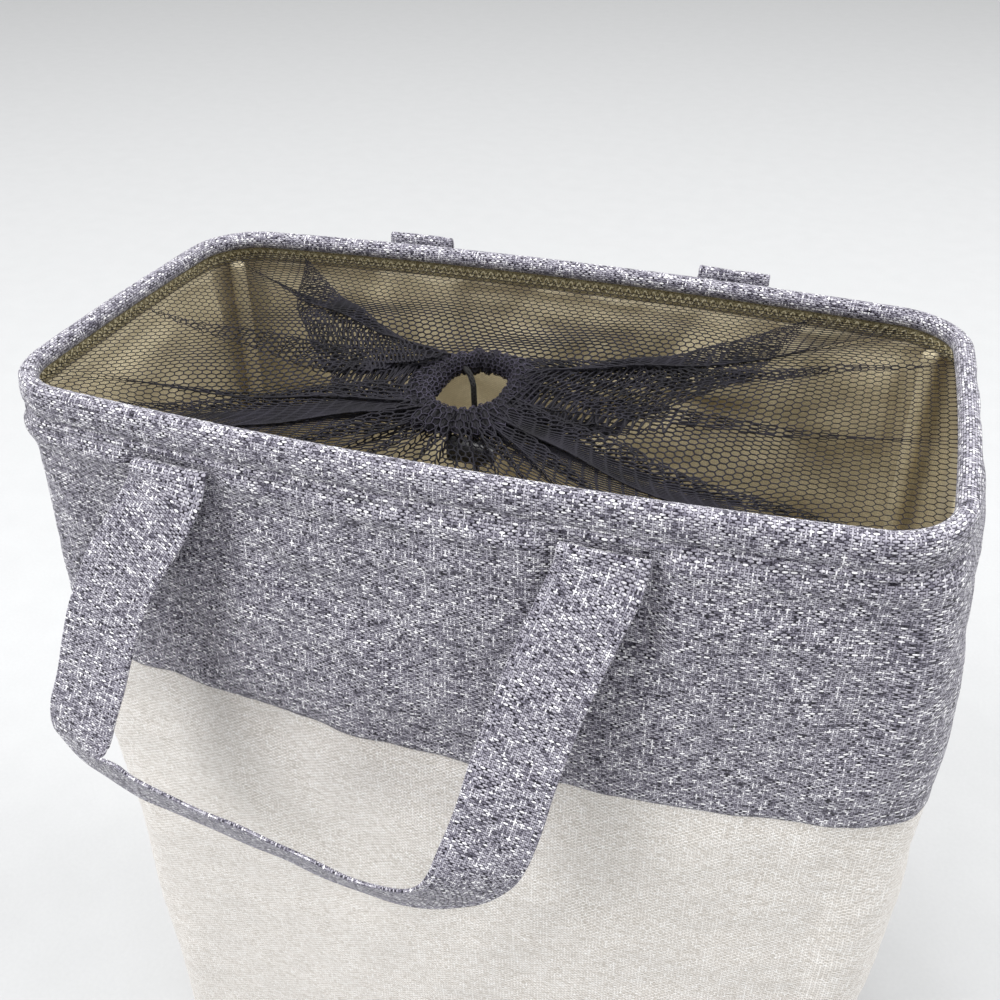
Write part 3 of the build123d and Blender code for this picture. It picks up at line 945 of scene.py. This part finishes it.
# Radius of the net's strands, and of those wrapped round the ring
STRAND_R = 0.00029
RING_STRAND_R = 0.00030
# Share of that radius that strands have at the rim, and what they gain towards the crowded ring
BULK_AT_RIM, BULK_GAIN = 0.85, 0.85
# Where the net's folds start on the rim, as angles about the ring in degrees
NET_FOLDS = [
    140, 150, 170.5, 192, 201, 212, 224, 236, 246, 256, 266, 275,
    284, 292, 300, 308, 316, 324, 333, 342, 4.8, 24, 33, 42,
]
# The two end seams, where the net is cut narrower towards the ring, and by how much in all
NET_SEAMS = [170.5, 4.8]
CUT_AWAY = 0.04 * LOOP_LENGTH
SEAM_WIDTH = CUT_AWAY / len(NET_SEAMS)


def ring_place(points, radius):
    """Nearest points of the casing's stadium, grown or shrunk to that radius of its ends."""
    seat = np.zeros_like(points)
    seat[..., 0] = RING_CENTRE.x
    half = RING_STRAIGHT / 2
    seat[..., 1] = RING_CENTRE.y + np.clip(points[..., 1] - RING_CENTRE.y, -half, half)
    way = points - seat
    return seat + way * radius / np.linalg.norm(way, axis=-1, keepdims=True)


def reach_in(s):
    """Distance from the rim in to the ring, at distances s along the rim."""
    start, _ = along_loop(s)
    return np.linalg.norm(start - ring_place(start, RING_ARC_R), axis=-1)


def rim_places(angles):
    """Distances along the rim of the places at those angles about the ring."""
    s = shares(4000) * LOOP_LENGTH
    place, _ = along_loop(s)
    found = np.degrees(np.arctan2(place[:, 1] - RING_CENTRE.y, place[:, 0] - RING_CENTRE.x))
    return [float(s[np.abs((found - angle + 180) % 360 - 180).argmin()]) for angle in angles]


RING_LOOP = 2 * RING_STRAIGHT + math.tau * RING_ARC_R
RUN = np.linspace(0, LOOP_LENGTH, 4001)
RING_RATE = np.gradient(distances(ring_place(along_loop(RUN)[0], RING_ARC_R)), RUN)
CLOSING = np.concatenate([[0.0], np.cumsum((1 - RING_RATE[:-1]) * np.diff(RUN))])
CLOSING_ALL = CLOSING[-1]
SEAMS = rim_places(NET_SEAMS)
FOLDS = sorted(rim_places(NET_FOLDS))


def closing(s):
    """How much narrower the net's place gets, from the rim's start to s, at the ring."""
    turns = np.floor(s / LOOP_LENGTH)
    return np.interp(s - turns * LOOP_LENGTH, RUN, CLOSING) + turns * CLOSING_ALL


def fold_sizes():
    """Spare net at the ring that each fold takes up: what its stretch of the rim has over, less the cuts."""
    wrapped = [FOLDS[-1] - LOOP_LENGTH] + FOLDS + [FOLDS[0] + LOOP_LENGTH]
    edges = [(a + b) / 2 for a, b in zip(wrapped, wrapped[1:])]
    sizes = []
    for place, low, high in zip(FOLDS, edges, edges[1:]):
        spare = closing(np.array(high)) - closing(np.array(low))
        at_seam = min(abs(place - seam) for seam in SEAMS) < 0.01
        sizes.append(max(float(spare) - (SEAM_WIDTH if at_seam else 0.0), 0.01))
    return [size * (CLOSING_ALL - CUT_AWAY) / sum(sizes) for size in sizes]


FOLD_SPARE = fold_sizes()
# Place between two folds that the gathering leaves where it is
STILL = np.array((FOLDS[0] + FOLDS[-1] - LOOP_LENGTH) / 2)


def soft_clamp(value, half, soft):
    """value held between -half and half, turning over a short soft length."""
    high = np.logaddexp(0, (value + half) / soft) - np.logaddexp(0, (value - half) / soft)
    return high * soft - half


def nearest_turn(gap):
    return (gap + LOOP_LENGTH / 2) % LOOP_LENGTH - LOOP_LENGTH / 2


def seam_cut(s, t):
    """True where the flat net is cut away at an end seam."""
    half = SEAM_WIDTH / 2 * t
    return np.any([np.abs(nearest_turn(s - seam)) < half - 0.002 for seam in SEAMS], axis=0)


def taken_up(s, t):
    """How much net the folds and seams take up, from the rim's start to s, at share t of the way in."""
    total = np.zeros_like(s)
    for turn in (-LOOP_LENGTH, 0.0, LOOP_LENGTH):
        for place, spare in zip(FOLDS, FOLD_SPARE):
            half = spare * t / 4
            total += 2 * (soft_clamp(s - place - turn, half, 0.0014) + half)
        for seam in SEAMS:
            half = SEAM_WIDTH / 2 * t
            total += np.clip(s - seam - turn, -half, half) + half
    return total


# How high a fold stands near the rim, and how much higher at the ring
LIFT_OUTER, LIFT_GAIN = 0.0012, 0.0036


def fold_lift(s, t):
    """How high a folded place stands over or under the net beside it."""
    lift = np.zeros_like(s)
    for count, (place, spare) in enumerate(zip(FOLDS, FOLD_SPARE)):
        half = spare * t / 4
        q = nearest_turn(s - place)
        beyond = np.maximum(np.abs(q) - half, 0)
        slope = np.clip(q / (half + 1e-4), -1, 1)
        height = LIFT_OUTER + LIFT_GAIN * ease(t, 0.3, 1.0)
        lift += (-1) ** count * slope * height * np.exp(-beyond / (half * 0.8 + 0.004)) * ease(t, 0.0, 0.12)
    return lift


# The net's unevenness, its sag halfway in, and how far below and above its plane it stays
NET_LOOSE, NET_SAG, NET_LOWEST, NET_HIGHEST = 0.0016, 0.004, -0.0060, 0.0095


def net_points(s, depth):
    """Places on the gathered net of points at s along the rim and depth in from it on the flat net."""
    t = np.clip(depth / reach_in(s), 0, 1)
    wanted = s - taken_up(s, t) + taken_up(np.full_like(s, STILL), t) - t * closing(STILL)
    moved = STILL + (wanted - STILL) / (1 - t * CLOSING_ALL / LOOP_LENGTH)
    for _ in range(12):
        rate = np.interp(np.mod(moved, LOOP_LENGTH), RUN, 1 - RING_RATE)
        moved = moved - (moved - t * closing(moved) - wanted) / (1 - t * rate)
    outer, normal = along_loop(moved)
    outer = outer + normal * NET_OFFSET
    inner = ring_place(outer, RING_ARC_R - 0.001)
    flat = outer * (1 - t)[..., None] + inner * t[..., None]
    points = np.concatenate([flat, np.full(s.shape + (1,), NET_Z)], -1)
    loose = NET_LOOSE * ease(t, 0.05, 0.4) * ease(1 - t, 0.0, 0.3) * ripple(points, 0.04, 51)
    sag = -NET_SAG * np.sin(math.pi * t)
    points[..., 2] += np.clip(fold_lift(s, t) + loose + sag, NET_LOWEST, NET_HIGHEST)
    return points


def hex_strands(columns, rows, pitch):
    """Both ends of every strand of a hexagonal net, as places (along, down) on it, and one cell's area."""
    corner = pitch / math.sqrt(3)
    i, j = np.meshgrid(np.arange(columns), np.arange(rows), indexing="ij")
    centre = np.stack([(i + (j % 2) / 2) * pitch, (j + 0.5) * 1.5 * corner], -1).reshape(-1, 2)
    foot = centre + [0, corner]
    right_low = centre + [pitch / 2, corner / 2]
    right_high = centre + [pitch / 2, -corner / 2]
    left_low = centre + [-pitch / 2, corner / 2]
    pairs = ((foot, right_low), (right_low, right_high), (foot, left_low))
    return np.concatenate([np.stack(pair, 1) for pair in pairs]), pitch * 1.5 * corner


def net_edges():
    """Both ends of every strand on the flat net, as (s, depth), and the net's flat area per strand."""
    columns = round(LOOP_LENGTH / NET_PITCH)
    rows = int(HALF_LONG * 1.25 / (NET_PITCH * math.sqrt(3) / 2))
    ends, cell = hex_strands(columns, rows, LOOP_LENGTH / columns)
    share = ends[..., 1] / reach_in(ends[..., 0])
    inside = (share <= 0.985).all(1) & ~seam_cut(ends[..., 0], share).any(1)
    return ends[inside], cell / 3


def strands(name, ends, radius, material):
    """Thin four-sided strands between pairs of points."""
    run = unit(ends[:, 1] - ends[:, 0], 1e-12)
    side = unit(np.cross(run, [0, 0, 1.0]), 1e-12)
    ring = circles(side, np.cross(side, run), 4)
    points = ends[:, :, None] + ring[:, None] * np.asarray(radius).reshape(-1, 1, 1, 1)
    sides = np.array([[k, (k + 1) % 4, (k + 1) % 4 + 4, k + 4] for k in range(4)])
    faces = (sides[None] + (np.arange(len(ends)) * 8)[:, None, None]).reshape(-1, 4)
    return mesh_object(name, points, faces, material)


def net_cover():
    """The net from the rim to the ring, as two halves."""
    ends, area_each = net_edges()
    placed = net_points(ends[..., 0], ends[..., 1])
    share = ends[:, 0, 1] / reach_in(ends[:, 0, 0])
    bulk = BULK_AT_RIM + BULK_GAIN * ease(share, 0.12, 0.70)
    left = ends[:, 0, 0] < LOOP_LENGTH / 2
    for name, chosen in (("net_left", left), ("net_right", ~left)):
        made = strands(name, placed[chosen], STRAND_R * bulk[chosen], MATERIALS["hex_mesh"])
        if name == "net_left":
            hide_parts("mesh_cover")
        dress(made)


def ring_at(p):
    """(x, y) and outward normal of the casing's closed centreline, at distances p along it."""
    seen = np.linspace(0, math.tau, 2001)
    way = np.stack([np.cos(seen), np.sin(seen)], 1)
    place = ring_place(np.array([RING_CENTRE.x, RING_CENTRE.y]) + way * 0.1, RING_ARC_R)
    length = distances(place)
    found = sampled(np.mod(p, length[-1]), length, place)
    return found, unit(found - ring_place(found, 0.0))


def swell(p, waves, seed):
    """Uneven value from -1 to 1 round the ring, made of waves that close on themselves."""
    draw = np.random.default_rng(seed)
    total = sum(np.sin(p / RING_LOOP * math.tau * k + draw.uniform(0, math.tau)) for k in waves)
    return total / len(waves)


# Pleats round the ring, large and small
PLEATS, FINE_PLEATS = 31, 67


def casing_points(p, a, lift):
    """Places on the gathered casing, at p along the ring and angle a about its core, 0 outwards."""
    place, normal = ring_at(p)
    seen = p / RING_LOOP * math.tau
    lump = swell(p, (2, 3, 5, 7), 62)
    pleat = np.sin(seen * PLEATS + 2.4 * swell(p, (3, 5, 8), 63) + 0.9 * np.sin(a + 1.0))
    fine = np.sin(seen * FINE_PLEATS + 3.0 * swell(p, (4, 9), 64) + 0.6 * a)
    outer = np.maximum(np.cos(a), 0)
    radius = RING_R * (0.82 + 0.13 * pleat + 0.05 * fine + lift / RING_R)
    reach = radius * (1 + (1.15 + 0.45 * lump) * outer)
    rise = radius * (1 + 0.22 * lump + 0.18 * outer * pleat)
    flat = place + normal * (reach * np.cos(a))[..., None]
    return np.concatenate([flat, (NET_Z + rise * np.sin(a) - 0.0012 * outer)[..., None]], -1)


def net_casing():
    """Casing of gathered net round the drawcord: crowded pleats across the ring, wrapped in its own net."""
    count, sides = 1000, 40
    p, a = np.meshgrid(shares(count) * RING_LOOP, shares(sides) * math.tau)
    points = casing_points(p, a, 0.0)
    uv = uv_grid(np.linspace(0, 0.034, sides + 1), np.linspace(0, RING_LOOP * 3, count + 1))
    made = sheet_grid("net_casing", points, casing_material(), uv, True, True, flip=True)
    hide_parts("mesh_casing")
    dress(made)
    columns, rows = 62, 16
    ends, _ = hex_strands(columns, rows, RING_LOOP / columns)
    down = rows * RING_LOOP / columns * math.sqrt(3) / 2
    steps = np.linspace(0, 1, 4)[:, None, None]
    line = ends[None, :, 0] * (1 - steps) + ends[None, :, 1] * steps
    wrapped = casing_points(line[..., 0], line[..., 1] / down * math.tau, 0.0006)
    parts = np.concatenate([np.stack([wrapped[k], wrapped[k + 1]], 1) for k in range(3)])
    net = strands("net_casing_cells", parts, RING_STRAND_R, MATERIALS["casing_net"])
    return dress(net)


def casing_material():
    """The same net, many layers deep: near-black, partly the net's own colour and partly painted shade deep
    between its layers, with hints of paler strands.
    """
    s = Shader("hex_mesh_layers", Roughness=0.7, Sheen_Weight=0.05, Specular_IOR_Level=0.2)
    place = s.cloth_place()
    scale = {"Vector": place, "Scale": 420.0, "Randomness": 0.75}
    cells = s.node("TexVoronoi", scale, feature="DISTANCE_TO_EDGE")
    edge = s.minus(1.0, s.times(cells.outputs["Distance"], 3.6, clamp=True), clamp=True)
    broad = s.noise(s.object_place(), 140.0, 3.0)
    # Painted shade: the near-black between the paler strands stands for the shade inside the gathered layers.
    colour = s.ramp(s.mixed(edge, broad, 0.65), [(0.3, srgb(7, 7, 9)), (0.85, srgb(38, 36, 44))])
    return s.finish(colour, edge, 0.8, 0.0006)


net_cover()
net_casing()

# ---------------------------------------------------------------- handles

STRAP_THICK = 0.002
# How far a strap's stitches lie in from its edges
STITCH_INSET = 0.004
# How far the back strap stands off the rim where it passes it
CLEAR_OFFSET = 0.0061
# How far the hanging loops' planes lean out from upright
TILT = math.radians(22.0)


def wall_y(x, offset, side):
    """Y of a long side at x, offset outwards from the rim's centreline."""
    radius = bow(2 * HALF_LONG, LONG_BOW)
    centre = radius - HALF_SHORT - LONG_BOW
    return side * (math.sqrt((radius + offset) ** 2 - x * x) - centre)


def spline(points, step):
    """Smooth line through points of any width, sampled about every step."""
    points = np.asarray(points, float)
    padded = np.concatenate([[2 * points[0] - points[1]], points, [2 * points[-1] - points[-2]]])
    found = []
    for a, b, c, d in zip(padded, padded[1:], padded[2:], padded[3:]):
        count = max(2, int(np.linalg.norm((c - b)[:3]) / step))
        t = shares(count)[:, None]
        curve = (2 * a - 5 * b + 4 * c - d) * t**2 + (3 * b - a - 3 * c + d) * t**3
        found.append(0.5 * (2 * b + (c - a) * t + curve))
    found.append(points[-1:])
    return np.concatenate(found)


def fold_stations(side, end, hinge):
    """Places from the sewn end's foot up the wall and over the fold at the hinge."""
    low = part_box("front_left_anchor" if side < 0 else "back_left_anchor")[0].z
    sewn = wall_y(end, WALL_OFFSET + STRAP_THICK / 2, side)
    clear = wall_y(end, CLEAR_OFFSET, side)
    places = [(end, sewn, low), (end, sewn, low + 0.016)]
    if hinge.z > SKIRT_Z:
        near = clear
        top = hinge.z - 0.0015
        places += [(end, sewn, SKIRT_Z - 0.008), (end, clear, SKIRT_Z + 0.004), (end, clear, top - 0.004)]
    else:
        near = sewn
        top = hinge.z
        places.append((end, sewn, hinge.z - 0.010))
    radius = abs(hinge.y - near) / 2
    middle = (hinge.y + near) / 2
    for turn in (0, 45, 90, 135):
        a = math.radians(turn)
        places.append((end, middle - side * radius * math.cos(a), top + radius * math.sin(a)))
    return places


def plane_point(x, depth, out, side, hinge):
    """Place on the hanging loop: x, depth down its tilted plane and out from it."""
    y = hinge.y + side * (depth * math.sin(TILT) + out * math.cos(TILT))
    z = hinge.z - depth * math.cos(TILT) + out * math.sin(TILT)
    return (x, y, z)


def width_way(turn, lean, side):
    """Strap's width direction, turned from x towards the loop's normal, itself raised by lean, in degrees."""
    a, tilt = math.radians(turn), TILT + math.radians(lean)
    return (math.cos(a), math.sin(a) * side * math.cos(tilt), math.sin(a) * math.sin(tilt))


# The hanging loop's left leg and corner, from its fold on: x from the leg's end, depth down the loop's
# plane and distance out from it, then the turn and the lean of the strap's width
LEFT_LEG = [
    (-0.0008, 0.006, 0.0000, 0, 0),
    (-0.0046, 0.016, 0.0004, 0, 0),
    (-0.0145, 0.035, 0.0008, 0, 0),
    (-0.0222, 0.050, 0.0008, 0, 0),
    (-0.0300, 0.072, 0.0005, 0, 0),
    (-0.0350, 0.092, 0.0000, 1, 0),
    (-0.0390, 0.112, -0.0005, 3, 0),
    (-0.0430, 0.130, -0.0010, 6, 0),
    (-0.0450, 0.143, -0.0020, 15, 12),
    (-0.0400, 0.1545, -0.0050, 48, 34),
    (-0.0230, 0.1615, -0.0070, 74, 45),
    (0.0000, 0.1665, -0.0060, 80, 44),
]
RIGHT_LEG = [
    (-0.0006, 0.006, 0.0000, 0, 0),
    (-0.0022, 0.013, 0.0003, 0, 0),
    (-0.0072, 0.029, 0.0006, 0, 0),
    (-0.0126, 0.047, 0.0006, 0, 0),
    (-0.0175, 0.064, 0.0004, 0, 0),
    (-0.0220, 0.083, 0.0000, 0, 0),
    (-0.0265, 0.104, 0.0000, 0, 0),
    (-0.0300, 0.125, 0.0000, 3, 0),
    (-0.0350, 0.145, -0.0010, 12, 3),
    (-0.0430, 0.163, -0.0030, 34, 20),
    (-0.0560, 0.1745, -0.0050, 62, 34),
    (-0.0760, 0.1805, -0.0060, 80, 40),
]
# The run between them: x from the loop's middle, then the same
RUN_STATIONS = [(-0.030, 0.1755, -0.006, 82, 42), (0.005, 0.1805, -0.006, 86, 40)]


def loop_stations(start, side, hinge, table):
    """Rows of place and width direction of part of the hanging loop, x counted from start."""
    rows = [(plane_point(start + x, d, o, side, hinge), width_way(t, n, side)) for x, d, o, t, n in table]
    return [(*place, *way) for place, way in rows]


# Distances between a strap's points along it: before and after they are evened out
LINE_STEP, EVEN_STEP = 0.0008, 0.0013


def handle_line(side, ends, hinge):
    """Centre line, width direction, normal and distance along the strap, from one sewn end to the other."""
    left, right = ends
    flat = (1.0, 0.0, 0.0)
    down = loop_stations(left, side, hinge, LEFT_LEG)
    run = loop_stations((left + right) / 2, side, hinge, RUN_STATIONS)
    up = [(*row[:3], -row[3], row[4], row[5]) for row in loop_stations(right, side, hinge, RIGHT_LEG)[::-1]]
    first = [(*place, *flat) for place in fold_stations(side, left, hinge)]
    last = [(*place, -1.0, 0.0, 0.0) for place in fold_stations(side, right, hinge)[::-1]]
    line = spline(first + down + run + up + last, LINE_STEP)
    length = distances(line[:, :3])
    even = np.linspace(0, length[-1], int(length[-1] / EVEN_STEP))
    line = sampled(even, length, line)
    centre, width = line[:, :3], line[:, 3:]
    ahead = unit(np.gradient(centre, axis=0))
    width = unit(width - ahead * (width * ahead).sum(1, keepdims=True))
    return centre, width, np.cross(ahead, width), even


def strap_section():
    """Section of the folded strap: (across, through) with soft edges, anticlockwise."""
    half, thick, edge = STRAP_WIDTH / 2, STRAP_THICK / 2, 0.0009
    flat = np.linspace(-half + edge, half - edge, 15)
    corner = np.radians([-60, -20, 20, 60])
    right = [(half - edge + edge * math.cos(a), thick * math.sin(a)) for a in corner]
    left = [(-x, y) for x, y in right[::-1]]
    lower = [(x, -thick * (1 - 0.25 * bell(half - STITCH_INSET - abs(x), 0.002))) for x in flat]
    upper = [(x, -y) for x, y in lower[::-1]]
    return np.array(lower + right + upper + left)


def cupping(along, place, side):
    """How far the strap's cloth rises and falls out of its line."""
    return 0.0006 * np.sin(along / 0.05)[:, None] + 0.0005 * ripple(place, 0.02, 71 + side)


def handle(where, side, ends):
    """Strap from one sewn end to the other: the bag's up to the fold, and the handle's beyond it."""
    name, node = where + "_strap", where + "_handle"
    anchors = (where + "_left_anchor", where + "_right_anchor")
    joint = next(j for j in frame["joints"] if j["name"] == node + "_hinge")
    hinge = Vector(joint["pos_m"])
    centre, width, normal, along = handle_line(side, ends, hinge)
    section = strap_section()
    across, through = section[:, 0], section[:, 1]
    place = centre[:, None] + width[:, None] * across[None, :, None]
    points = place + normal[:, None] * (through[None] + cupping(along, place, side))[..., None]
    uv = uv_grid(along, distances(np.vstack([section, section[:1]])))
    faces, table = grid_faces(len(centre), len(section), close_columns=True)
    made = mesh_object(name, points, faces, MATERIALS["grey_linen"], uv.reshape(-1, 2)[table.ravel()])
    caps(made, len(centre), len(section))
    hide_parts(node, *anchors)
    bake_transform(made)
    for hand, hand_name in ((-1, "left"), (1, "right")):
        for face, face_name in ((-1, "inner"), (1, "outer")):
            edge = centre + width * hand * (STRAP_WIDTH / 2 - STITCH_INSET)
            edge = edge + normal * face * STRAP_THICK * 0.40
            path = edge + normal * cupping(along, edge[:, None], side)
            sewn = stitches(f"{name}_stitch_{hand_name}_{face_name}", path, normal * face, GREY_THREAD)
            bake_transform(sewn)


def caps(piece, rows, columns):
    """Closes both ends of a swept strip."""
    data = piece.data
    first = list(range(columns))
    last = [(rows - 1) * columns + k for k in reversed(range(columns))]
    points = [tuple(v.co) for v in data.vertices]
    faces = [tuple(p.vertices) for p in data.polygons] + [tuple(first[::-1]), tuple(last[::-1])]
    uvs = np.zeros(len(data.loops) * 2, np.float32)
    data.uv_layers["cloth"].data.foreach_get("uv", uvs)
    ends = np.zeros(2 * 2 * columns, np.float32)
    fresh = bpy.data.meshes.new(data.name + "_closed")
    fresh.from_pydata(points, [], faces)
    layer = fresh.uv_layers.new(name="cloth")
    layer.data.foreach_set("uv", np.concatenate([uvs, ends]))
    fresh.polygons.foreach_set("use_smooth", [True] * (len(faces) - 2) + [False] * 2)
    fresh.materials.append(data.materials[0])
    piece.data = fresh


handle("front", -1, FRONT_ENDS)
handle("back", 1, BACK_ENDS)

# ---------------------------------------------------------------- CAD nodes that keep their shape

for row in frame["record"]["subparts"]:
    node = frame["nodes"][row["node"]]
    if not node.hide_render:
        node.data.materials.clear()
        node.data.materials.append(MATERIALS[row["material_slot"]])

# ---------------------------------------------------------------- floor, lights and world


# Half the floor's size, and its gap to the bag
FLOOR_HALF, FLOOR_GAP = 6.0, 0.0002
LIGHT_TARGET = Vector((0.0, 0.0, 0.4))


def floor():
    """Pale paper floor."""
    material = speckled("floor_paper", srgb(190, 191, 192), srgb(194, 195, 196), 300.0, 0.85, bump=0.05)
    data = bpy.data.meshes.new("floor")
    corners = ((-1, -1), (1, -1), (1, 1), (-1, 1))
    data.from_pydata([(x * FLOOR_HALF, y * FLOOR_HALF, 0) for x, y in corners], [], [(0, 1, 2, 3)])
    data.materials.append(material)
    made = linked(bpy.data.objects.new("floor", data))
    made.location.z = -FLOOR_GAP


def area_light(name, place, size, power):
    """Soft round lamp aimed at the bag."""
    data = bpy.data.lights.new(name, "AREA")
    data.shape = "DISK"
    data.size = size
    data.energy = power
    made = linked(bpy.data.objects.new(name, data))
    made.location = place
    made.rotation_euler = (LIGHT_TARGET - Vector(place)).to_track_quat("-Z", "Y").to_euler()


def world():
    """Plain white surroundings."""
    made = bpy.data.worlds.new("studio")
    made.use_nodes = True
    background = made.node_tree.nodes["Background"].inputs
    background[0].default_value = (1.0, 1.0, 1.0, 1.0)
    background[1].default_value = 0.76
    bpy.context.scene.world = made


floor()
area_light("key", (-2.5, -2.75, 4.4), 2.5, 142)
area_light("fill", (2.75, 0.75, 3.65), 2.5, 92)
area_light("top", (-0.5, -0.5, 4.9), 2.0, 124)
world()
bpy.context.scene.view_settings.view_transform = "Standard"
